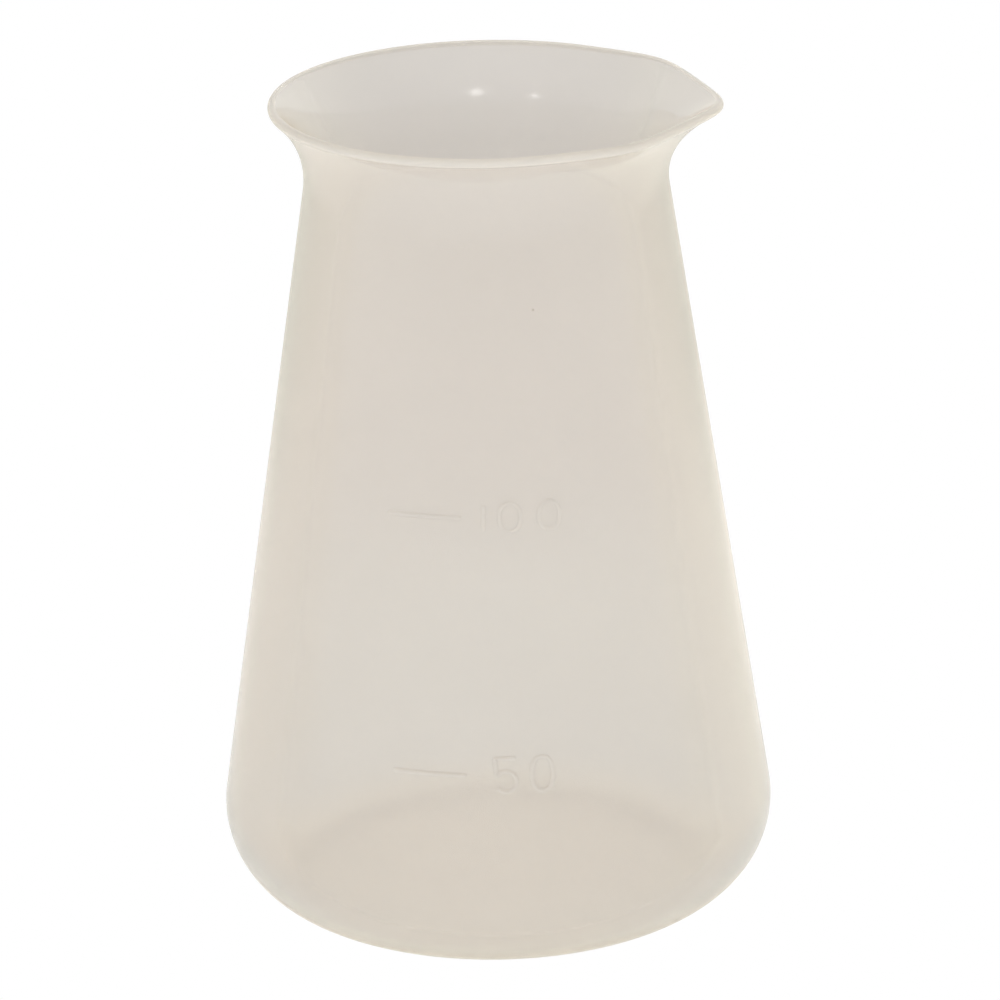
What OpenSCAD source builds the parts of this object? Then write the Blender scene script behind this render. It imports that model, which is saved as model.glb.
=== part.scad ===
// Conical graduated beaker, moulded in one natural plastic wall.
// It stands on z = 0 with its axis on Z. The graduations face -Y and the spout points close to +X.

/* [Vessel] */
// Height from the foot to the top of the lip
beaker_h = 87.2; // [76:0.1:110]
// Widest outer diameter, low down on the heel
base_d = 58.6; // [52:0.1:72]
// Outer diameter at the neck, where the cone ends and the flare begins
neck_d = 38.2; // [32:0.1:46]
// How far the flared lip stands out past the neck, away from the spout
rim_out = 3.4; // [2:0.1:6]
// Height of the flared rim above the neck
flare_h = 9.6; // [7:0.1:13]
// Outer radius of the rounded heel
heel_r = 10.2; // [5:0.1:13]
// Thickness of the conical wall, the heel and the rim
wall = 1; // [0.8:0.1:1.6]
// Thickness of the floor, from the foot to the inside
floor_t = 1.1; // [0.9:0.1:2]

/* [Foot] */
// How far the heel's curve is cut off by the flat foot, which meets it in an edge
heel_cut = 0.8; // [0.4:0.1:2]
// Width of the flat ring that the beaker stands on
foot_ring_w = 1.6; // [1:0.1:4]
// Depth of the recess inside that ring
recess_h = 0.3; // [0.2:0.05:0.5]

/* [Spout] */
// Direction that the spout points in, in degrees from +X
spout_dir = -7; // [-30:1:30]
// How far the tip of the spout stands out past the round lip
spout_out = 2.3; // [1.2:0.1:4]
// Angle of each straight flank from square across the spout, in degrees
spout_flank = 26; // [15:1:35]
// Angle from the spout's middle at which the lip leaves its circle, in degrees
spout_shoulder = 67; // [55:1:75]
// Crispness of the corners at the shoulders and the tip
spout_crisp = 18; // [10:1:40]
// How late the spout spreads on its way up the flare
spout_spread = 2.6; // [1.5:0.1:4]

/* [Graduations] */
// Volume at the lower line, in millilitres
low_ml = 50; // [40:5:60]
// Volume at the upper line, in millilitres
high_ml = 100; // [80:5:110]
// How far the marks stand out of the wall
mark_relief = 0.3; // [0.2:0.05:0.5]
// Length of a graduation line round the wall
line_l = 8.5; // [5:0.5:14]
// Width of a graduation line
line_w = 0.55; // [0.4:0.05:1]
// Distance round the wall from the front to the near end of a line
line_gap = 2.9; // [2:0.1:5]
// Width of the strokes of the numerals
stroke_w = 0.5; // [0.35:0.05:0.6]
// Height of the lower numerals
low_numeral_h = 4; // [3:0.1:5]
// Height of the upper numerals
high_numeral_h = 3.4; // [3:0.1:5]
// Width of a round digit
digit_w = 2.7; // [2.3:0.1:3.2]
// Space between the digits of the lower numerals
low_digit_gap = 1.1; // [0.8:0.1:2]
// Space between the round digits of the upper numerals
high_digit_gap = 1.4; // [0.8:0.1:2]
// Space after the narrow first digit of the upper numerals
one_gap = 1.1; // [0.8:0.1:2]
// Place round the wall of the left side of the lower numerals, from the front
low_numeral_x = -0.5; // [-1.2:0.1:2]
// Place round the wall of the left side of the upper numerals, from the front
high_numeral_x = -1.2; // [-1.2:0.1:2]

/* [Hidden] */
$fn = 96;

natural = [0.86, 0.83, 0.78];
natural_mark = [0.90, 0.88, 0.84];
mm3_per_ml = 1000;
rad = PI/180;

// Section of the vessel, as radius and height
base_r = base_d/2;
neck_r = neck_d/2;
rim_r = neck_r + rim_out;
heel = [base_r - heel_r, heel_r - heel_cut];
foot_r = arc_edge(heel_r, 0);
recess_r = foot_r - foot_ring_w;
neck_h = beaker_h - flare_h;

// Radius at which an arc about the heel's centre comes down to a level
function arc_edge(r, z) = heel.x + sqrt(r*r - pow(heel.y - z, 2));

// The outer cone passes the neck and touches the heel
heel_span = [heel.x - neck_r, neck_h - heel.y];
cone_a = atan2(heel_span.x, heel_span.y) + asin(heel_r/norm(heel_span));
wall_up = [-sin(cone_a), cos(cone_a)];
wall_out = [cos(cone_a), sin(cone_a)];
outer_off = [neck_r, neck_h]*wall_out;
inner_off = outer_off - wall;
inner_heel_r = heel_r - wall;
seam_h = heel.y + heel_r*wall_out.y;

// Radius at height z of a cone line at distance off from the section's origin
function cone_r(off, z) = (off - z*wall_out.y)/wall_out.x;

// The flare is one arc along the middle of the wall, from the neck to the lip
lip_r = wall/2;
throat = [neck_r, neck_h] - lip_r*wall_out;
lip = [rim_r - lip_r, beaker_h - lip_r];
flare_chord = lip - throat;
flare_half_turn = atan2(flare_chord*wall_out, flare_chord*wall_up);
flare_r = norm(flare_chord)/(2*sin(flare_half_turn));
flare_centre = throat + flare_r*wall_out;
inner_neck = [neck_r, neck_h] - wall*wall_out;

// Unit vector from the flare's centre, at share t of the way from the neck to the lip
function flare_dir(t) = let (a = cone_a - 2*flare_half_turn*t) -[cos(a), sin(a)];

// Lip of the spout: a rounded outline of two flanks and the tangents that they leave the circle by
spout_fade = 8;
spout_half = spout_shoulder + spout_fade;
spout_reach = rim_r + spout_out;
spout_steps = 60;
flare_steps = 9;
lip_steps = 6;
flank_off = (spout_reach - lip_r)*pow(2, 1/spout_crisp)*cos(spout_flank);
function flank_r(a) = flank_off/cos(a - spout_flank);
function shoulder_r(a) = lip.x/cos(max(spout_shoulder - abs(a), 0));
function far_flank(a) = cos(abs(a) + spout_flank) > 0 ? pow(flank_r(-abs(a)), -spout_crisp) : 0;
function spout_lip_r(a) = pow(pow(shoulder_r(a), -spout_crisp) + pow(flank_r(abs(a)), -spout_crisp)
                              + far_flank(a), -1/spout_crisp);

// Section of the rim as radius, height and share of the spout's spread
lip_turn = cone_a - 2*flare_half_turn;
flare_outer = [for (i = [0:flare_steps]) let (t = i/flare_steps)
    concat(flare_centre + (flare_r - lip_r)*flare_dir(t), pow(t, spout_spread))];
lip_round = [for (i = [1:lip_steps - 1]) let (a = lip_turn + 180*i/lip_steps)
    concat(lip + lip_r*[cos(a), sin(a)], 1)];
flare_inner = [for (i = [0:flare_steps]) let (t = 1 - i/flare_steps)
    concat(flare_centre + (flare_r + lip_r)*flare_dir(t), pow(t, spout_spread))];
rim_section = concat(flare_outer, lip_round, flare_inner);

// Height of the liquid for a volume: the heel's share, then a slice of the cone
heel_low = floor_t - heel.y;
heel_high = inner_heel_r*wall_out.y;
function segment_area(u) = (u*sqrt(pow(inner_heel_r, 2) - u*u)
                            + pow(inner_heel_r, 2)*asin(u/inner_heel_r)*rad)/2;
heel_volume = PI*((pow(heel.x, 2) + pow(inner_heel_r, 2))*(heel_high - heel_low)
                  + 2*heel.x*(segment_area(heel_high) - segment_area(heel_low))
                  - (pow(heel_high, 3) - pow(heel_low, 3))/3);
heel_top_r = heel.x + inner_heel_r*wall_out.x;
function fill_r(ml) = pow(pow(heel_top_r, 3) - 3*tan(cone_a)*(ml*mm3_per_ml - heel_volume)/PI, 1/3);
function fill_height(ml) = (inner_off - fill_r(ml)*wall_out.x)/wall_out.y;

low_z = fill_height(low_ml);
high_z = fill_height(high_ml);
front_dir = -90;

// Shapes of the digits: the fullness of a zero's oval, and a five's bowl as a share of its height
oval_sides = 48;
oval_power = 0.85;
five_bowl = 0.62;
function oval_points(w, h) = [for (i = [0:oval_sides - 1])
    let (c = cos(360*i/oval_sides), s = sin(360*i/oval_sides))
    [sign(c)*pow(abs(c), oval_power)*w/2, sign(s)*pow(abs(s), oval_power)*h/2]];

// Angle round the wall for a distance along it at height z
function arc_angle(x, z) = x/cone_r(outer_off, z)/rad;

// Filled section of a cup with its floor at z0, a heel of radius r and a cone line, up to a level
module cup_section(z0, r, off, top) {
    polygon([[0, z0], [arc_edge(r, z0), z0], heel, heel + r*wall_out, [cone_r(off, top), top], [0, top]]);
    intersection() {
        translate(heel) circle(r);
        translate([0, z0]) square([base_d, top - z0]);
    }
}

// Floor, foot ring and rounded heel
module base() {
    color(natural) rotate_extrude() difference() {
        cup_section(0, heel_r, outer_off, seam_h);
        cup_section(floor_t, inner_heel_r, inner_off, seam_h + wall);
        square([recess_r, recess_h]);
    }
}

// Straight conical wall, from the heel to the neck
module conical_wall() {
    color(natural) rotate_extrude() polygon([
        [cone_r(inner_off, seam_h), seam_h],
        [cone_r(outer_off, seam_h), seam_h],
        [neck_r, neck_h],
        inner_neck]);
}

// Section of the flared rim: a band of the flare's ring, closed by the round lip
module rim_section_2d() {
    wedge_r = 2*(flare_r + wall);
    intersection() {
        difference() {
            translate(flare_centre) circle(flare_r + lip_r);
            translate(flare_centre) circle(flare_r - lip_r);
        }
        polygon([flare_centre, for (t = [0, 0.5, 1]) flare_centre + wedge_r*flare_dir(t)]);
    }
    translate(lip) circle(lip_r);
}

// The round part of the flared rim
module flared_rim() {
    color(natural) rotate([0, 0, spout_dir + spout_half])
        rotate_extrude(angle = 360 - 2*spout_half) rim_section_2d();
}

// The part of the rim that is drawn out into the spout
module pouring_spout() {
    count = len(rim_section);
    points = [for (i = [0:spout_steps])
        let (a = spout_half*(2*i/spout_steps - 1), draw = spout_lip_r(a) - lip.x)
        for (p = rim_section)
            let (r = p.x + draw*p.z) [r*cos(a), r*sin(a), p.y]];
    skin = [for (i = [0:spout_steps - 1], j = [0:count - 1])
        let (k = (j + 1)%count, near = i*count, far = near + count)
        each [[near + j, far + j, near + k], [near + k, far + j, far + k]]];
    first_end = [for (j = [0:count - 1]) j];
    last_end = [for (j = [1:count]) (spout_steps + 1)*count - j];
    color(natural) rotate([0, 0, spout_dir])
        polyhedron(points, concat(skin, [first_end, last_end]));
}

// Thin conical skin on the wall, from which the marks are cut
module mark_skin_section(low, high) {
    polygon([[cone_r(outer_off, low), low],
             [cone_r(outer_off + mark_relief, low), low],
             [cone_r(outer_off + mark_relief, high), high],
             [cone_r(outer_off, high), high]]);
}

// Raised line round the wall at the height z
module graduation_line(z) {
    from = front_dir - arc_angle(line_gap + line_l, z);
    color(natural_mark) rotate([0, 0, from])
        rotate_extrude(angle = arc_angle(line_l, z)) mark_skin_section(z - line_w/2, z + line_w/2);
}

// A full oval stroke
module digit_0(h) {
    difference() {
        polygon(oval_points(digit_w, h));
        polygon(oval_points(digit_w - 2*stroke_w, h - 2*stroke_w));
    }
}

module digit_1(h) {
    square([stroke_w, h], center = true);
}

// A round bowl that is open on its left, with an upright and a bar above it
module digit_5(h) {
    bowl_r = five_bowl*h/2;
    bowl_y = bowl_r - h/2;
    upright_y = bowl_y + bowl_r/2;
    left = -digit_w/2;
    difference() {
        translate([0, bowl_y]) circle(bowl_r);
        translate([0, bowl_y]) circle(bowl_r - stroke_w);
        translate([-digit_w, bowl_y - bowl_r/2]) square([digit_w, bowl_r]);
    }
    translate([left, upright_y]) square([stroke_w, h/2 - upright_y]);
    translate([left, h/2 - stroke_w]) square([digit_w - stroke_w, stroke_w]);
}

// One raised digit, with its middle x along the wall from the front, at the height z
module raised_digit(x, z, h) {
    patch_a = arc_angle(digit_w, z);
    rotate([0, 0, arc_angle(x, z)]) intersection() {
        rotate([0, 0, front_dir - patch_a]) rotate_extrude(angle = 2*patch_a)
            mark_skin_section(z - h, z + h);
        translate([0, 0, z]) rotate([90, 0, 0]) linear_extrude(base_d) children();
    }
}

module graduation_line_50() {
    graduation_line(low_z);
}

module graduation_line_100() {
    graduation_line(high_z);
}

module numeral_50() {
    first = low_numeral_x + digit_w/2;
    color(natural_mark) {
        raised_digit(first, low_z, low_numeral_h) digit_5(low_numeral_h);
        raised_digit(first + digit_w + low_digit_gap, low_z, low_numeral_h) digit_0(low_numeral_h);
    }
}

module numeral_100() {
    first = high_numeral_x + stroke_w + one_gap + digit_w/2;
    color(natural_mark) {
        raised_digit(high_numeral_x + stroke_w/2, high_z, high_numeral_h) digit_1(high_numeral_h);
        for (i = [0, 1])
            raised_digit(first + i*(digit_w + high_digit_gap), high_z, high_numeral_h) digit_0(high_numeral_h);
    }
}

base();
conical_wall();
flared_rim();
pouring_spout();
graduation_line_50();
graduation_line_100();
numeral_50();
numeral_100();
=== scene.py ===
"""Looks of a conical graduated beaker, moulded in natural milky plastic.

The moulding's section is drawn once, revolved and drawn out into the spout by Geometry Nodes.
The raised graduations are rounded strokes, wrapped on the cone by a second tree.
"""
import math

import bpy
from mathutils import Matrix, Vector


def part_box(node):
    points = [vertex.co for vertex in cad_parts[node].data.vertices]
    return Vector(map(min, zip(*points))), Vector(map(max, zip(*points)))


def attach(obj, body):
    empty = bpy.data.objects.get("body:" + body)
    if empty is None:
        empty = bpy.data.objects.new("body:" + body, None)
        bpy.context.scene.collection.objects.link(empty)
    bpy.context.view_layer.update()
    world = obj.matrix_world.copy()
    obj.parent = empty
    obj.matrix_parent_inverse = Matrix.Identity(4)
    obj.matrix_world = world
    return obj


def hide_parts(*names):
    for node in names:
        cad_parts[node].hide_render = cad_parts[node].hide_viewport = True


bl_info = {
    "name": "Conical graduated beaker",
    "version": (1, 0, 0),
    "blender": (4, 5, 0),
    "location": "3D View > Sidebar > Beaker",
    "description": "Builds a moulded beaker with a pouring spout and raised graduations",
    "category": "Object",
}

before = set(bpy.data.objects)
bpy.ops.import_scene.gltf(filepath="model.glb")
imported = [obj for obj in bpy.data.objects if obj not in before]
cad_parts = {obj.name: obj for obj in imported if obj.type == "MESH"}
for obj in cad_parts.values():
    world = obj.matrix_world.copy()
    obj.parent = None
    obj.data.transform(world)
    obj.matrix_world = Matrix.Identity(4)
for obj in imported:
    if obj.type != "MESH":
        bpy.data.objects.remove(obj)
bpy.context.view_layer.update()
BODY = "root"
MILKY = "milky_plastic"
LIT_MARKS = "lit_mark_plastic"
LIT_RIM = "lit_rim_plastic"
VESSEL_NODES = ("base", "conical_wall", "flared_rim", "pouring_spout")
MM = 0.001


def node_top(name):
    """Highest level of a node of the frame."""
    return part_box(name)[1].z


def node_middle(name):
    """Level halfway up a node of the frame."""
    low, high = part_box(name)
    return (low.z + high.z)/2


def length(name, description, default):
    """A size that a user can change, in metres."""
    return bpy.props.FloatProperty(name=name, description=description, default=default,
                                   unit="LENGTH", precision=5)


def angle(name, description, degrees):
    """An angle that a user can change."""
    return bpy.props.FloatProperty(name=name, description=description, default=math.radians(degrees),
                                   unit="ROTATION")


def share(name, description, default):
    """A value from 0 to 1 that a user can change."""
    return bpy.props.FloatProperty(name=name, description=description, default=default,
                                   min=0, max=1, subtype="FACTOR")


def tint(name, description, default):
    """A linear colour that a user can change."""
    return bpy.props.FloatVectorProperty(name=name, description=description, default=default,
                                         size=3, min=0, max=1, subtype="COLOR")


class BeakerVessel(bpy.types.PropertyGroup):
    """Sizes of the moulded vessel."""
    height: length("Height", "From the foot to the top of the lip", node_top("flared_rim"))
    neck_height: length("Neck height", "Level where the cone ends and the flare begins",
                        node_top("conical_wall"))
    base_width: length("Base width", "Widest outer diameter, low down on the heel",
                       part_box("base")[1].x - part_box("base")[0].x)
    neck_width: length("Neck width", "Outer diameter at the neck", 38.2*MM)
    rim_radius: length("Rim radius", "From the axis to the outside of the round lip",
                       -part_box("flared_rim")[0].x)
    heel_radius: length("Heel radius", "Outer radius of the rounded heel", 10.2*MM)
    wall: length("Wall", "Thickness of the wall, the heel and the rim", 1*MM)
    floor: length("Floor", "Thickness of the floor, from the foot to the inside", 1.1*MM)
    heel_cut: length("Heel cut", "How far the flat foot cuts off the heel's curve", 0.8*MM)
    foot_ring: length("Foot ring", "Width of the flat ring that the beaker stands on", 1.6*MM)
    recess: length("Recess", "Depth of the recess inside the foot ring", 0.3*MM)


class BeakerSpout(bpy.types.PropertyGroup):
    """Shape of the pouring spout."""
    direction: angle("Direction", "Where the spout points, from +X", -7)
    reach: length("Reach", "How far its tip stands out past the round lip", 2.3*MM)
    flank: angle("Flank", "Angle of each flank from square across the spout", 26)
    shoulder: angle("Shoulder", "Angle from the middle at which the lip leaves its circle", 67)
    crispness: bpy.props.FloatProperty(
        name="Crispness", description="Sharpness of the corners at the shoulders and the tip",
        default=18, min=4, max=60)
    lateness: bpy.props.FloatProperty(
        name="Lateness", description="How late the spout spreads on its way up the flare",
        default=2.6, min=1, max=6)


class BeakerMarks(bpy.types.PropertyGroup):
    """Sizes of the raised graduations."""
    relief: length("Relief", "How far the marks stand out of the wall", 0.3*MM)
    line_length: length("Line length", "Length of a graduation line round the wall", 8.5*MM)
    line_width: length("Line width", "Width of a graduation line", 0.55*MM)
    line_gap: length("Line gap", "From the front to the near end of a line, round the wall", 2.9*MM)
    stroke: length("Stroke", "Width of the strokes of the numerals", 0.5*MM)
    digit_width: length("Digit width", "Width of a round digit", 2.7*MM)
    low_height: length("Lower digits", "Height of the lower numerals", 4*MM)
    high_height: length("Upper digits", "Height of the upper numerals", 3.4*MM)
    low_start: length("Lower start", "Left side of the lower numerals, from the front", -0.5*MM)
    high_start: length("Upper start", "Left side of the upper numerals, from the front", -1.2*MM)
    low_gap: length("Lower gap", "Space between the lower digits", 1.1*MM)
    high_gap: length("Upper gap", "Space between the round upper digits", 1.4*MM)
    one_gap: length("One gap", "Space after the narrow first digit", 1.1*MM)


class BeakerPlastic(bpy.types.PropertyGroup):
    """Finish of the milky plastic."""
    milk: tint("Milk", "Colour of the plastic in the wall and the floor", (0.985, 0.94, 0.88))
    # Painted light: the lip's creamier tint and lower clearness make a lighter copy of the wall's
    # plastic, standing in for light glowing through the lip seen edge-on.
    lit_rim_tint: tint("Lit rim tint", "Colour of the plastic in the lip, seen on its edge", (0.98, 0.93, 0.84))
    # Painted light: the marks' near-white tint, high clearness and low IOR make a lighter copy of the
    # wall's plastic, so the raised strokes don't read darker than the wall.
    lit_mark_tint: tint("Lit mark tint", "Colour of the plastic in the raised marks", (1.0, 0.985, 0.96))
    cloud_depth: share("Cloud depth", "How much the denser clouds darken the plastic", 0.022)
    clearness: share("Clearness", "Share of light that passes into the wall", 0.74)
    rim_clearness: share("Rim clearness", "Share of light that passes into the lip", 0.45)
    mark_clearness: share("Mark clearness", "Share of light that passes into the raised marks", 0.85)
    roughness: share("Roughness", "Roughness of the satin surface", 0.15)
    rim_roughness: share("Rim roughness", "Roughness of the lip", 0.2)
    mark_roughness: share("Mark roughness", "Roughness of the raised marks", 0.2)
    mark_gloss: share("Mark gloss", "Strength of the gloss on the raised marks", 0.4)
    bloom: share("Bloom", "Strength of the pale bloom at the edges", 0.3)
    bloom_tint: tint("Bloom tint", "Colour of the bloom", (1.0, 0.86, 0.65))
    fleck: length("Fleck", "Radius of the dark fleck in the wall", 0.15*MM)
    fleck_tint: tint("Fleck tint", "Colour of the fleck", (0.4, 0.34, 0.28))


class BeakerStage(bpy.types.PropertyGroup):
    """Camera and light."""
    camera_place: bpy.props.FloatVectorProperty(
        name="Camera place", description="Where the camera stands", size=3, subtype="TRANSLATION",
        default=(0.792*MM, -620.881*MM, 267.046*MM))
    camera_pitch: angle("Camera pitch", "How far the camera looks down", 19.853)
    camera_roll: angle("Camera roll", "How far the camera leans to its left", 1.11)
    camera_lens: bpy.props.FloatProperty(name="Lens", description="Focal length in millimetres",
                                         default=224.29, unit="CAMERA")
    daylight: bpy.props.FloatProperty(
        name="Daylight", description="Strength of the light from all round", default=1.0, min=0)
    glow: bpy.props.FloatProperty(
        name="Floor glow", description="Strength of the light from the floor", default=1.0, min=0)


def link(tree, socket, value):
    """Feeds an input from another socket, or sets its plain value."""
    if isinstance(value, bpy.types.NodeSocket):
        tree.links.new(value, socket)
    else:
        socket.default_value = value


def add(tree, kind, values=None, **settings):
    """A new node, with its settings and its inputs, which go by name or number."""
    made = tree.nodes.new(kind)
    for name, value in settings.items():
        setattr(made, name, value)
    for key, value in (values or {}).items():
        link(tree, made.inputs[key], value)
    return made


def maths(tree, operation, *values):
    """Result of a maths node over sockets or plain numbers."""
    return add(tree, "ShaderNodeMath", dict(enumerate(values)), operation=operation).outputs[0]


def ramp(tree, value, start, end):
    """A smooth rise from 0 to 1 as a value goes from a start to an end."""
    return add(tree, "ShaderNodeMapRange", {"Value": value, "From Min": start, "From Max": end},
               interpolation_type="SMOOTHSTEP").outputs[0]


MIX_COLOUR_A = 6
MIX_COLOUR_B = 7
MIX_RESULT = 2


def blend(tree, share_of_second, first, second):
    """A colour between two, which are sockets or linear RGB."""
    made = add(tree, "ShaderNodeMix", {"Factor": share_of_second}, data_type="RGBA")
    for number, colour in ((MIX_COLOUR_A, first), (MIX_COLOUR_B, second)):
        plain = not isinstance(colour, bpy.types.NodeSocket)
        link(tree, made.inputs[number], (*colour, 1) if plain else colour)
    return made.outputs[MIX_RESULT]


def new_tree(name, inputs):
    """A Geometry Nodes tree with a geometry in and out, and its sockets for the named inputs."""
    tree = bpy.data.node_groups.new(name, "GeometryNodeTree")
    tree.interface.new_socket("Geometry", in_out="INPUT", socket_type="NodeSocketGeometry")
    tree.interface.new_socket("Geometry", in_out="OUTPUT", socket_type="NodeSocketGeometry")
    for label, kind in inputs.items():
        tree.interface.new_socket(label, in_out="INPUT", socket_type="NodeSocket" + kind)
    return tree, tree.nodes.new("NodeGroupInput").outputs


def end_tree(tree, geometry, material, other=None):
    """Smooths the surface and ends a tree with real geometry in its material.

    Another material, with the field of the faces that it goes on, comes after.
    """
    smooth = add(tree, "GeometryNodeSetShadeSmooth", {"Geometry": geometry})
    real = add(tree, "GeometryNodeRealizeInstances", {"Geometry": smooth.outputs[0]})
    dressed = add(tree, "GeometryNodeSetMaterial", {"Geometry": real.outputs[0], "Material": material})
    if other:
        second, chosen = other
        dressed = add(tree, "GeometryNodeSetMaterial", {
            "Geometry": dressed.outputs[0], "Selection": chosen, "Material": second})
    add(tree, "NodeGroupOutput", {"Geometry": dressed.outputs[0]})


def grown(name, mesh, tree, values):
    """An object whose mesh is what the tree makes of a first mesh, with no modifier left on it."""
    piece = bpy.data.objects.new(name, mesh)
    bpy.context.scene.collection.objects.link(piece)
    modifier = piece.modifiers.new(tree.name, "NODES")
    modifier.node_group = tree
    for item in tree.interface.items_tree:
        if item.in_out == "INPUT" and item.name in values:
            modifier[item.identifier] = values[item.name]
    depsgraph = bpy.context.evaluated_depsgraph_get()
    made = bpy.data.meshes.new_from_object(piece.evaluated_get(depsgraph))
    piece.modifiers.clear()
    piece.data = made
    made.name = name
    for i in reversed(range(len(made.materials))):
        if made.materials[i] is None:
            made.materials.pop(index=i)
    if not made.polygons:
        raise RuntimeError(name + " came out empty")
    return piece


def seat(piece, *nodes):
    """Puts a finished piece in the place of its nodes."""
    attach(piece, BODY)
    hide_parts(*nodes)


class Section:
    """The vessel's section, as radius and height, worked out from its few sizes."""

    def __init__(self, vessel):
        self.vessel = vessel
        heel = Vector((vessel.base_width/2 - vessel.heel_radius, vessel.heel_radius - vessel.heel_cut))
        neck = Vector((vessel.neck_width/2, vessel.neck_height))
        span = Vector((heel.x - neck.x, neck.y - heel.y))
        self.heel = heel
        self.lean = math.atan2(span.x, span.y) + math.asin(vessel.heel_radius/span.length)
        self.out = Vector((math.cos(self.lean), math.sin(self.lean)))
        self.up = Vector((-self.out.y, self.out.x))
        self.neck = neck
        self.offset = neck.dot(self.out)

        self.lip_r = vessel.wall/2
        self.lip = Vector((vessel.rim_radius - self.lip_r, vessel.height - self.lip_r))
        throat = neck - self.lip_r*self.out
        chord = self.lip - throat
        self.half_turn = math.atan2(chord.dot(self.out), chord.dot(self.up))
        self.flare_r = chord.length/(2*math.sin(self.half_turn))
        self.flare_centre = throat + self.flare_r*self.out

    def cone_radius(self, z):
        """Outer radius of the cone at a level."""
        return (self.offset - z*self.out.y)/self.out.x


def arc(centre, radius, start, end, steps):
    """Points on an arc of the section, from one angle to another, both ends included."""
    turns = (start + (end - start)*i/steps for i in range(steps + 1))
    return [centre + radius*Vector((math.cos(a), math.sin(a))) for a in turns]


def run(start, end, steps):
    """Points along a straight stretch of the section, without its ends."""
    return [start.lerp(end, i/steps) for i in range(1, steps)]


def heel_curve(section, radius, level):
    """A heel's curve from a flat level up to the cone, and the radius of its soft lower corner."""
    start = math.asin((level - section.heel.y)/radius)
    corner = section.heel + radius*Vector((math.cos(start), math.sin(start)))
    rise = arc(section.heel, radius, start + EASE/radius, section.lean, HEEL_STEPS)
    flat = corner - Vector((EASE, 0))
    shares = [i/EASE_STEPS for i in range(EASE_STEPS)]
    return [(1 - t)**2*flat + 2*t*(1 - t)*corner + t*t*rise[0] for t in shares] + rise, corner.x


def moulded_outline(section, lateness):
    """The section's outline from under the floor, over the lip and down to the floor.

    Each point has its share of the spout's spread.
    """
    v = section.vessel
    quarter = math.pi/2
    outer_heel, foot_edge = heel_curve(section, v.heel_radius, 0)
    inner_heel, _ = heel_curve(section, v.heel_radius - v.wall, v.floor)
    inner_heel.reverse()
    recess_r = foot_edge - v.foot_ring
    edge = v.recess/2
    under = Vector((0, v.recess))
    brow = arc(Vector((recess_r - edge, edge)), edge, quarter, 0, EDGE_STEPS)
    foot = arc(Vector((recess_r + edge, edge)), edge, math.pi, 3*quarter, EDGE_STEPS)
    flare_start = math.pi + section.lean
    flare_end = flare_start - 2*section.half_turn
    outer_r = section.flare_r - section.lip_r
    inner_r = section.flare_r + section.lip_r
    outer = arc(section.flare_centre, outer_r, flare_start, flare_end, FLARE_STEPS)
    inner = arc(section.flare_centre, inner_r, flare_end, flare_start, FLARE_STEPS)
    lip = arc(section.lip, section.lip_r, flare_end - math.pi, flare_end, LIP_STEPS)[1:-1]

    def plain(points):
        return [(p, 0) for p in points]

    spread = [(i/FLARE_STEPS)**lateness for i in range(FLARE_STEPS + 1)]
    floor_middle = Vector((0, v.floor))
    return (plain([under] + run(under, brow[0], FLAT_STEPS) + brow + foot[1:])
            + plain(run(foot[-1], outer_heel[0], RING_STEPS) + outer_heel)
            + plain(run(outer_heel[-1], outer[0], CONE_STEPS))
            + list(zip(outer, spread)) + [(p, 1) for p in lip] + list(zip(inner, reversed(spread)))
            + plain(run(inner[-1], inner_heel[0], CONE_STEPS) + inner_heel)
            + plain(run(inner_heel[-1], floor_middle, FLAT_STEPS) + [floor_middle]))


EDGE_STEPS = 4
EASE_STEPS = 4
EASE = 0.35*MM
HEEL_STEPS = 28
FLARE_STEPS = 26
LIP_STEPS = 12
CONE_STEPS = 24
RING_STEPS = 4
FLAT_STEPS = 8
ROUND_STEPS = 360
SPREAD = "spout_share"
RIM_FROM = 0.97
WELD = 0.002*MM


def outline_mesh(points):
    """A chain of edges in the XZ plane, with each point's share of the spout."""
    mesh = bpy.data.meshes.new("moulded_outline")
    edges = [(i, i + 1) for i in range(len(points) - 1)]
    mesh.from_pydata([(p.x, 0, p.y) for p, _ in points], edges, [])
    shares = mesh.attributes.new(SPREAD, "FLOAT", "POINT")
    shares.data.foreach_set("value", [s for _, s in points])
    return mesh


def drawn_lip(tree, turn, sockets):
    """How far the lip is drawn out at an angle from the spout's middle.

    The outline is a rounded polygon of two flanks and the tangents that they leave the circle by.
    """
    def powered(value):
        return maths(tree, "POWER", maths(tree, "MAXIMUM", value, 0), sockets["Crispness"])

    away = maths(tree, "ABSOLUTE", turn)
    leave = maths(tree, "MAXIMUM", maths(tree, "SUBTRACT", sockets["Shoulder"], away), 0)
    tip_r = maths(tree, "ADD", sockets["Lip Radius"], sockets["Reach"])
    corner = maths(tree, "POWER", 2, maths(tree, "DIVIDE", 1, sockets["Crispness"]))
    flank_r = maths(tree, "MULTIPLY", maths(tree, "MULTIPLY", tip_r, corner),
                    maths(tree, "COSINE", sockets["Flank"]))
    ratio = maths(tree, "DIVIDE", sockets["Lip Radius"], flank_r)
    total = powered(maths(tree, "COSINE", leave))
    for sense in ("SUBTRACT", "ADD"):
        slant = maths(tree, "COSINE", maths(tree, sense, away, sockets["Flank"]))
        total = maths(tree, "ADD", total, powered(maths(tree, "MULTIPLY", slant, ratio)))
    scale = maths(tree, "POWER", total, maths(tree, "DIVIDE", -1, sockets["Crispness"]))
    return maths(tree, "MULTIPLY", sockets["Lip Radius"], maths(tree, "SUBTRACT", scale, 1))


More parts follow.
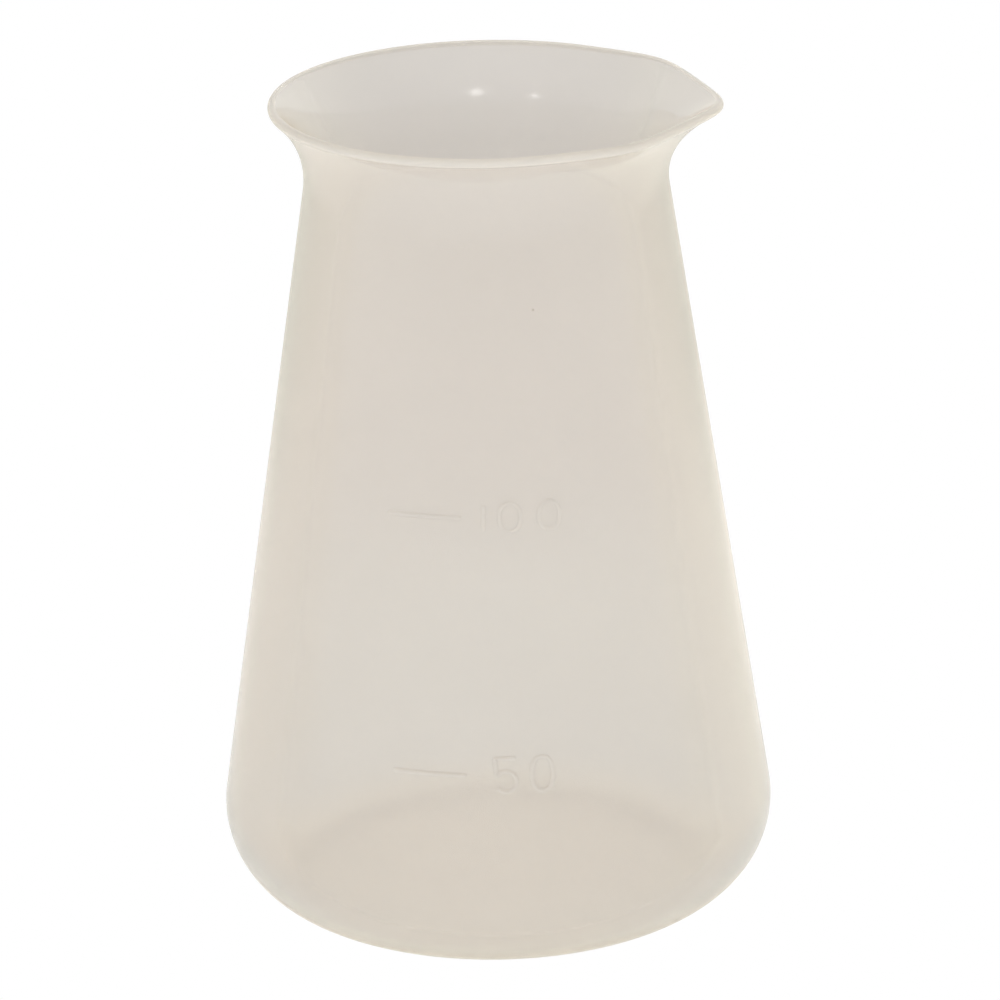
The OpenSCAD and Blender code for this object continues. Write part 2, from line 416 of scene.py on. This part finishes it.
def moulding_tree():
    """Revolves an outline about the axis and draws its lip out into the spout."""
    tree, sockets = new_tree("Revolved moulding", {
        "Steps Round": "Int", "Direction": "Float", "Lip Radius": "Float", "Reach": "Float",
        "Flank": "Float", "Shoulder": "Float", "Crispness": "Float", "Material": "Material",
        "Rim Material": "Material"})
    outline = sockets["Geometry"]
    rows = add(tree, "GeometryNodeAttributeDomainSize", {"Geometry": outline}).outputs["Point Count"]
    columns = maths(tree, "ADD", sockets["Steps Round"], 1)
    grid = add(tree, "GeometryNodeMeshGrid", {"Vertices X": rows, "Vertices Y": columns})
    index = tree.nodes.new("GeometryNodeInputIndex").outputs[0]
    row = maths(tree, "FLOOR", maths(tree, "DIVIDE", index, columns))
    column = maths(tree, "SUBTRACT", index, maths(tree, "MULTIPLY", row, columns))
    turn = maths(tree, "SUBTRACT", maths(tree, "MULTIPLY", maths(
        tree, "DIVIDE", column, sockets["Steps Round"]), 2*math.pi), math.pi)

    def sampled(value, kind):
        return add(tree, "GeometryNodeSampleIndex", {"Geometry": outline, "Value": value, "Index": row},
                   data_type=kind).outputs[0]

    place = sampled(tree.nodes.new("GeometryNodeInputPosition").outputs[0], "FLOAT_VECTOR")
    stored = add(tree, "GeometryNodeInputNamedAttribute", {"Name": SPREAD}, data_type="FLOAT")
    spread = sampled(stored.outputs[0], "FLOAT")
    point = add(tree, "ShaderNodeSeparateXYZ", {"Vector": place}).outputs
    drawn = maths(tree, "MULTIPLY", spread, drawn_lip(tree, turn, sockets))
    radius = maths(tree, "ADD", point["X"], drawn)
    heading = maths(tree, "ADD", turn, sockets["Direction"])
    where = add(tree, "ShaderNodeCombineXYZ", {
        "X": maths(tree, "MULTIPLY", radius, maths(tree, "COSINE", heading)),
        "Y": maths(tree, "MULTIPLY", radius, maths(tree, "SINE", heading)), "Z": point["Z"]})
    moved = add(tree, "GeometryNodeSetPosition", {
        "Geometry": grid.outputs["Mesh"], "Position": where.outputs[0]})
    kept = add(tree, "GeometryNodeCaptureAttribute", {"Geometry": moved.outputs[0]})
    kept.capture_items.new("FLOAT", "Share")
    link(tree, kept.inputs["Share"], spread)
    # The lip's faces take the painted-light copy of the plastic, so the lip reads as a creamier, lighter
    # ring.
    on_rim = maths(tree, "GREATER_THAN", kept.outputs["Share"], RIM_FROM)
    closed = add(tree, "GeometryNodeMergeByDistance", {
        "Geometry": kept.outputs["Geometry"], "Distance": WELD})
    outward = add(tree, "GeometryNodeFlipFaces", {"Mesh": closed.outputs[0]})
    end_tree(tree, outward.outputs[0], sockets["Material"], (sockets["Rim Material"], on_rim))
    return tree


CLOUDS = "Milky clouds"
CLOUD_SCALE = 45
CLOUD_DETAIL = 3
PLASTIC_IOR = 1.49
MARK_IOR = 1.03
BLOOM_ROUGHNESS = 0.4
FLECK_LEVEL = 70.4*MM
FLECK_TURN = math.radians(12.9)


def cloud_group():
    """The shader group that clouds a milky colour from place to place."""
    tree = bpy.data.node_groups.get(CLOUDS)
    if tree:
        return tree
    tree = bpy.data.node_groups.new(CLOUDS, "ShaderNodeTree")
    tree.interface.new_socket("Milk", in_out="INPUT", socket_type="NodeSocketColor")
    tree.interface.new_socket("Depth", in_out="INPUT", socket_type="NodeSocketFloat")
    tree.interface.new_socket("Colour", in_out="OUTPUT", socket_type="NodeSocketColor")
    given = tree.nodes.new("NodeGroupInput").outputs
    places = add(tree, "ShaderNodeTexCoord").outputs["Object"]
    noise = add(tree, "ShaderNodeTexNoise", {
        "Vector": places, "Scale": CLOUD_SCALE, "Detail": CLOUD_DETAIL})
    shade = maths(tree, "MULTIPLY", noise.outputs["Fac"], given["Depth"])
    add(tree, "NodeGroupOutput", {"Colour": blend(tree, shade, given["Milk"], (0, 0, 0))})
    return tree


def natural_plastic(name, plastic, milk, values, fleck_place=None):
    """Milky translucent plastic with faint clouds, its own shader values and perhaps a fleck. For the lip
    and the raised marks, the colour and values given make lighter copies of the wall's plastic, which is
    painted light.
    """
    material = bpy.data.materials.new(name)
    material.use_nodes = True
    tree = material.node_tree
    tree.nodes.clear()
    clouds = add(tree, "ShaderNodeGroup", {"Milk": (*milk, 1), "Depth": plastic.cloud_depth},
                 node_tree=cloud_group())
    colour = clouds.outputs["Colour"]
    if fleck_place:
        places = add(tree, "ShaderNodeTexCoord").outputs["Object"]
        away = add(tree, "ShaderNodeVectorMath", {0: places, 1: fleck_place}, operation="DISTANCE")
        clear = ramp(tree, away.outputs["Value"], plastic.fleck/2, plastic.fleck)
        colour = blend(tree, clear, plastic.fleck_tint, colour)
    shader = add(tree, "ShaderNodeBsdfPrincipled", {
        "Base Color": colour, "Sheen Roughness": BLOOM_ROUGHNESS,
        "Sheen Tint": (*plastic.bloom_tint, 1), **values})
    add(tree, "ShaderNodeOutputMaterial", {"Surface": shader.outputs[0]})
    return material


class BEAKER_OT_mould_vessel(bpy.types.Operator):
    """Mould the vessel: floor, heel, conical wall, flared rim and spout in one closed wall"""
    bl_idname = "beaker.mould_vessel"
    bl_label = "Mould vessel"

    def execute(self, context):
        scene = context.scene
        spout = scene.beaker_spout
        plastic = scene.beaker_plastic
        section = Section(scene.beaker_vessel)
        outline = outline_mesh(moulded_outline(section, spout.lateness))
        out = section.cone_radius(FLECK_LEVEL)
        fleck_place = Vector((out*math.sin(FLECK_TURN), -out*math.cos(FLECK_TURN), FLECK_LEVEL))
        wall = natural_plastic(MILKY, plastic, plastic.milk, {
            "Transmission Weight": plastic.clearness, "Roughness": plastic.roughness,
            "IOR": PLASTIC_IOR, "Sheen Weight": plastic.bloom}, fleck_place)
        # Painted light: the lip gets a creamier, less clear copy of the wall's plastic, so it reads as a
        # lighter ring.
        lip = natural_plastic(LIT_RIM, plastic, plastic.lit_rim_tint, {
            "Transmission Weight": plastic.rim_clearness, "Roughness": plastic.rim_roughness,
            "IOR": PLASTIC_IOR, "Sheen Weight": plastic.bloom})
        vessel = grown("moulded_vessel", outline, moulding_tree(), {
            "Steps Round": ROUND_STEPS, "Direction": spout.direction, "Lip Radius": section.lip.x,
            "Reach": spout.reach, "Flank": spout.flank, "Shoulder": spout.shoulder,
            "Crispness": spout.crispness, "Material": wall, "Rim Material": lip})
        seat(vessel, *VESSEL_NODES)
        return {"FINISHED"}


ZERO_POINTS = 48
ZERO_FULLNESS = 0.85
BOWL_SHARE = 0.62
BOWL_POINTS = 24
BOWL_TURN = math.radians(150)


def zero(x, width, height):
    """Closed oval stroke of a zero, as points along the wall and up it."""
    points = []
    for i in range(ZERO_POINTS):
        a = 2*math.pi*i/ZERO_POINTS
        c, s = math.cos(a), math.sin(a)
        points.append((x + math.copysign(abs(c)**ZERO_FULLNESS, c)*width/2,
                       math.copysign(abs(s)**ZERO_FULLNESS, s)*height/2))
    return points + points[:1]


def one(x, height):
    """Upright stroke of a one."""
    return [(x, -height/2), (x, height/2)]


def five(x, width, height):
    """Stroke of a five: along the bar, down the upright and round the bowl."""
    bowl_r = BOWL_SHARE*height/2
    low = bowl_r - height/2
    turns = [BOWL_TURN*(1 - 2*i/BOWL_POINTS) for i in range(BOWL_POINTS + 1)]
    bowl = [(x + bowl_r*math.cos(a), low + bowl_r*math.sin(a)) for a in turns]
    return [(x + width/2, height/2), (x - width/2, height/2), *bowl]


def stroke_mesh(strokes, level):
    """Chains of edges in the XZ plane at a level, one for each stroke.

    A closed stroke ends where it starts.
    """
    points, edges = [], []
    for stroke in strokes:
        closed = stroke[0] == stroke[-1]
        first = len(points)
        points += stroke[:-1] if closed else stroke
        edges += [(i, i + 1) for i in range(first, len(points) - 1)]
        if closed:
            edges.append((len(points) - 1, first))
    mesh = bpy.data.meshes.new("strokes")
    mesh.from_pydata([(x, 0, level + z) for x, z in points], edges, [])
    return mesh


BEAD_SIDES = 16
STROKE_STEP = 0.08*MM
SINK = 0.05*MM
FILLET = 2.5
BLUNTNESS = 0.0004


def stroke_tree():
    """Turns flat strokes into rounded beads and wraps them on the cone."""
    tree, sockets = new_tree("Raised strokes", {
        "Width": "Float", "Relief": "Float", "Sink": "Float", "Step": "Float", "Middle Radius": "Float",
        "Top Radius": "Float", "Lean": "Float", "Material": "Material"})
    path = add(tree, "GeometryNodeMeshToCurve", {"Mesh": sockets["Geometry"]})
    even = add(tree, "GeometryNodeResampleCurve", {
        "Curve": path.outputs[0], "Length": sockets["Step"]}, mode="LENGTH")

    half = maths(tree, "DIVIDE", sockets["Width"], 2)
    along = tree.nodes.new("GeometryNodeSplineParameter").outputs["Length"]
    whole = tree.nodes.new("GeometryNodeSplineLength").outputs["Length"]
    to_end = maths(tree, "MINIMUM", along, maths(tree, "SUBTRACT", whole, along))
    inset = maths(tree, "SUBTRACT", 1, maths(tree, "MINIMUM", maths(tree, "DIVIDE", to_end, half), 1))
    dome = maths(tree, "SQRT", maths(tree, "MAXIMUM", maths(tree, "SUBTRACT", 1, maths(
        tree, "MULTIPLY", inset, inset)), BLUNTNESS))
    loop = tree.nodes.new("GeometryNodeInputSplineCyclic").outputs[0]
    taper = add(tree, "GeometryNodeSwitch", {"Switch": loop, "False": dome, "True": 1.0},
                input_type="FLOAT").outputs[0]
    tapered = add(tree, "GeometryNodeSetCurveRadius", {"Curve": even.outputs[0], "Radius": taper})

    ring = add(tree, "GeometryNodeCurvePrimitiveCircle", {"Resolution": BEAD_SIDES, "Radius": half})
    bead = add(tree, "GeometryNodeCurveToMesh", {
        "Curve": tapered.outputs[0], "Profile Curve": ring.outputs[0], "Scale": taper, "Fill Caps": True})

    point = add(tree, "ShaderNodeSeparateXYZ", {
        "Vector": tree.nodes.new("GeometryNodeInputPosition").outputs[0]}).outputs
    lift = maths(tree, "DIVIDE", maths(tree, "MULTIPLY", point["Y"], -1), half)
    crown = maths(tree, "POWER", maths(tree, "MAXIMUM", lift, 0), FILLET)
    raised = maths(tree, "ADD", maths(tree, "MULTIPLY", crown, sockets["Relief"]),
                   maths(tree, "MULTIPLY", maths(tree, "MINIMUM", lift, 0), sockets["Sink"]))
    cone = maths(tree, "SUBTRACT", sockets["Top Radius"], maths(tree, "MULTIPLY", point["Z"], maths(
        tree, "TANGENT", sockets["Lean"])))
    outward = maths(tree, "MULTIPLY", raised, maths(tree, "COSINE", sockets["Lean"]))
    upward = maths(tree, "MULTIPLY", raised, maths(tree, "SINE", sockets["Lean"]))
    radius = maths(tree, "ADD", cone, outward)
    heading = maths(tree, "DIVIDE", point["X"], sockets["Middle Radius"])
    where = add(tree, "ShaderNodeCombineXYZ", {
        "X": maths(tree, "MULTIPLY", radius, maths(tree, "SINE", heading)),
        "Y": maths(tree, "MULTIPLY", maths(tree, "MULTIPLY", radius, -1), maths(tree, "COSINE", heading)),
        "Z": maths(tree, "ADD", point["Z"], upward)})
    wrapped = add(tree, "GeometryNodeSetPosition", {
        "Geometry": bead.outputs[0], "Position": where.outputs[0]})
    end_tree(tree, wrapped.outputs[0], sockets["Material"])
    return tree


class BEAKER_OT_raise_graduations(bpy.types.Operator):
    """Raise the graduation lines and their numerals on the front of the cone"""
    bl_idname = "beaker.raise_graduations"
    bl_label = "Raise graduations"

    def execute(self, context):
        scene = context.scene
        marks = scene.beaker_marks
        section = Section(scene.beaker_vessel)
        plastic = scene.beaker_plastic
        # Painted light: the strokes get a lighter, near-clear copy of the wall's plastic, so they don't
        # read darker than the wall.
        material = natural_plastic(LIT_MARKS, plastic, plastic.lit_mark_tint, {
            "Transmission Weight": plastic.mark_clearness, "Roughness": plastic.mark_roughness,
            "IOR": MARK_IOR, "Coat Weight": plastic.mark_gloss, "Coat IOR": PLASTIC_IOR,
            "Coat Roughness": plastic.roughness})
        tree = stroke_tree()

        def raise_mark(name, strokes, width):
            level = node_middle(name)
            piece = grown(name + "_relief", stroke_mesh(strokes, level), tree, {
                "Width": width, "Relief": marks.relief, "Sink": SINK, "Step": STROKE_STEP,
                "Middle Radius": section.cone_radius(level), "Top Radius": section.cone_radius(0),
                "Lean": section.lean, "Material": material})
            seat(piece, name)

        near = -marks.line_gap - marks.line_width/2
        far = -marks.line_gap - marks.line_length + marks.line_width/2
        for name in ("graduation_line_50", "graduation_line_100"):
            raise_mark(name, [[(far, 0), (near, 0)]], marks.line_width)

        wide = marks.digit_width - marks.stroke
        low_tall = marks.low_height - marks.stroke
        high_tall = marks.high_height - marks.stroke
        first = marks.low_start + marks.digit_width/2
        second = first + marks.digit_width + marks.low_gap
        raise_mark("numeral_50", [
            five(first, wide, low_tall), zero(second, wide, low_tall)], marks.stroke)
        first = marks.high_start + marks.stroke/2
        second = marks.high_start + marks.stroke + marks.one_gap + marks.digit_width/2
        third = second + marks.digit_width + marks.high_gap
        raise_mark("numeral_100", [
            one(first, high_tall), zero(second, wide, high_tall),
            zero(third, wide, high_tall)], marks.stroke)
        return {"FINISHED"}


FLOOR_HALF = 3.0
FLOOR_DROP = 0.02*MM
FLOOR_GREY = 0.6
FLOOR_ROUGHNESS = 0.8
UNDER = (0.51, 0.50, 0.45)
BEFORE = (0.64, 0.665, 0.705)
NEAR_BEHIND = (0.33, 0.38, 0.41)
BEHIND = (0.215, 0.21, 0.235)
FAR_BEHIND = (0.145, 0.15, 0.17)
LEFT = (0.52, 0.49, 0.44)
RIGHT = (0.635, 0.62, 0.54)
FAR_ASIDE = (0.28, 0.29, 0.225)
FOOT_EDGE = (24*MM, 34*MM)
FRONT_EDGE = (-50*MM, 0)
SIDE_EDGE = (20*MM, 60*MM)
MIDDLE_EDGE = (-1*MM, 1*MM)
ASIDE_EDGE = (100*MM, 220*MM)
NEAR_EDGE = (80*MM, 140*MM)
FAR_EDGE = (190*MM, 240*MM)


def floor_glow(tree):
    """Colour of the light that the floor gives the beaker, from place to place."""
    place = add(tree, "ShaderNodeNewGeometry").outputs["Position"]
    x, y, _ = add(tree, "ShaderNodeSeparateXYZ", {"Vector": place}).outputs
    away = add(tree, "ShaderNodeVectorMath", {0: place}, operation="LENGTH").outputs["Value"]
    behind = blend(tree, ramp(tree, y, *NEAR_EDGE), NEAR_BEHIND, BEHIND)
    behind = blend(tree, ramp(tree, y, *FAR_EDGE), behind, FAR_BEHIND)
    aside = blend(tree, ramp(tree, x, *MIDDLE_EDGE), LEFT, RIGHT)
    aside = blend(tree, ramp(tree, y, *ASIDE_EDGE), aside, FAR_ASIDE)
    back = blend(tree, ramp(tree, maths(tree, "ABSOLUTE", x), *SIDE_EDGE), behind, aside)
    around = blend(tree, ramp(tree, y, *FRONT_EDGE), BEFORE, back)
    return blend(tree, ramp(tree, away, *FOOT_EDGE), UNDER, around)


def pale_floor(glow):
    """A wide floor just under the foot, plain white to the camera, that gives the beaker a soft glow."""
    mesh = bpy.data.meshes.new("floor")
    sides = ((-1, -1), (1, -1), (1, 1), (-1, 1))
    corners = [(x*FLOOR_HALF, y*FLOOR_HALF, -FLOOR_DROP) for x, y in sides]
    mesh.from_pydata(corners, [], [(0, 1, 2, 3)])
    floor = bpy.data.objects.new("floor", mesh)
    bpy.context.scene.collection.objects.link(floor)
    material = bpy.data.materials.new("pale_floor")
    material.use_nodes = True
    tree = material.node_tree
    tree.nodes.clear()
    lit = add(tree, "ShaderNodeBsdfPrincipled", {
        "Base Color": (FLOOR_GREY, FLOOR_GREY, FLOOR_GREY, 1), "Roughness": FLOOR_ROUGHNESS,
        "Emission Color": floor_glow(tree), "Emission Strength": glow})
    white = add(tree, "ShaderNodeEmission")
    seen = add(tree, "ShaderNodeLightPath").outputs["Is Camera Ray"]
    surface = add(tree, "ShaderNodeMixShader", {0: seen, 1: lit.outputs[0], 2: white.outputs[0]})
    add(tree, "ShaderNodeOutputMaterial", {"Surface": surface.outputs[0]})
    mesh.materials.append(material)


SOFT_LIGHTS = {
    "overhead": ((0, 0, 1), 3, 0.56),
    "left": ((-1, -0.2, 0.2), 3, 0.865),
    "right": ((1, -0.2, 0.2), 3, 0.77),
    "front_low": ((0, -1, 0.1), 3, 0.57),
    "front_high": ((0, -0.7, 0.8), 3, 0.53),
    "back": ((0, 1, 0.2), 3, 0.84),
    "back_left": ((-0.75, 0.65, 0.15), 5, 0.42),
    "back_right": ((0.75, 0.65, 0.15), 5, 0.66),
}
GLINT_LAMPS = {
    "front_lamp": ((0.08, -0.922, 0.36), 0.1, 0.26),
    "left_lamp": ((-0.517, -0.807, 0.284), 0.05, 0.13),
}
MOUTH = Vector((0, 0.018, 0.082))
LAMP_AWAY = 1.0
LIGHT_PATHS = {
    "max_bounces": 32,
    "glossy_bounces": 24,
    "transmission_bounces": 32,
    "diffuse_bounces": 12,
}
SENSOR_WIDTH = 36
NEAREST = 0.01
FARTHEST = 20


def glint_light(name, towards, size, power):
    """A small lamp, out of the camera's sight, that shines from a direction on the mouth."""
    lamp = bpy.data.lights.new(name, "AREA")
    lamp.size = size
    lamp.energy = power
    holder = bpy.data.objects.new(name, lamp)
    holder.location = MOUTH + LAMP_AWAY*Vector(towards).normalized()
    holder.rotation_euler = (MOUTH - holder.location).to_track_quat("-Z", "Y").to_euler()
    holder.visible_camera = False
    bpy.context.scene.collection.objects.link(holder)


def daylight(strength):
    """Broad soft white lights all round, as brightness over the directions of the world."""
    world = bpy.data.worlds.new("soft_lights")
    world.use_nodes = True
    tree = world.node_tree
    towards = add(tree, "ShaderNodeTexCoord").outputs["Generated"]
    total = 0
    for axis, narrowness, power in SOFT_LIGHTS.values():
        facing = add(tree, "ShaderNodeVectorMath", {0: towards, 1: Vector(axis).normalized()},
                     operation="DOT_PRODUCT").outputs["Value"]
        patch = maths(tree, "POWER", maths(tree, "MAXIMUM", facing, 0), narrowness)
        total = maths(tree, "MULTIPLY_ADD", patch, power*strength, total)
    link(tree, tree.nodes["Background"].inputs["Color"], (1, 1, 1, 1))
    link(tree, tree.nodes["Background"].inputs["Strength"], total)
    bpy.context.scene.world = world


def camera(stage):
    """The camera at the photograph's viewing angle."""
    eye = bpy.data.cameras.new("camera")
    eye.lens = stage.camera_lens
    eye.sensor_width = SENSOR_WIDTH
    eye.clip_start = NEAREST
    eye.clip_end = FARTHEST
    holder = bpy.data.objects.new("camera", eye)
    bpy.context.scene.collection.objects.link(holder)
    tilt = Matrix.Rotation(math.pi/2 - stage.camera_pitch, 4, "X")
    lean = Matrix.Rotation(-stage.camera_roll, 4, "Z")
    holder.matrix_world = Matrix.Translation(stage.camera_place) @ tilt @ lean
    bpy.context.scene.camera = holder


class BEAKER_OT_set_stage(bpy.types.Operator):
    """Set the floor, the light and the camera"""
    bl_idname = "beaker.set_stage"
    bl_label = "Set stage"

    def execute(self, context):
        scene = context.scene
        stage = scene.beaker_stage
        scene.view_settings.view_transform = "Standard"
        for name, count in LIGHT_PATHS.items():
            setattr(scene.cycles, name, count)
        pale_floor(stage.glow)
        daylight(stage.daylight)
        for name, (towards, size, power) in GLINT_LAMPS.items():
            glint_light(name, towards, size, power)
        camera(stage)
        return {"FINISHED"}


class BEAKER_PT_panel(bpy.types.Panel):
    """Lists what builds the beaker"""
    bl_label = "Beaker"
    bl_idname = "BEAKER_PT_panel"
    bl_space_type = "VIEW_3D"
    bl_region_type = "UI"
    bl_category = "Beaker"

    def draw(self, context):
        for step in OPERATORS:
            self.layout.operator(step.bl_idname)
        for name in GROUPS:
            group = getattr(context.scene, name)
            box = self.layout.box()
            for label in group.__annotations__:
                box.prop(group, label)


GROUPS = {"beaker_vessel": BeakerVessel, "beaker_spout": BeakerSpout, "beaker_marks": BeakerMarks,
          "beaker_plastic": BeakerPlastic, "beaker_stage": BeakerStage}
OPERATORS = (BEAKER_OT_set_stage, BEAKER_OT_mould_vessel, BEAKER_OT_raise_graduations)
CLASSES = (*GROUPS.values(), *OPERATORS, BEAKER_PT_panel)


def register():
    for each in CLASSES:
        bpy.utils.register_class(each)
    for name, group in GROUPS.items():
        setattr(bpy.types.Scene, name, bpy.props.PointerProperty(type=group))


def unregister():
    for name in GROUPS:
        delattr(bpy.types.Scene, name)
    for each in reversed(CLASSES):
        bpy.utils.unregister_class(each)


def main():
    register()
    bpy.ops.beaker.set_stage()
    bpy.ops.beaker.mould_vessel()
    bpy.ops.beaker.raise_graduations()


if __name__ == "__main__":
    main()
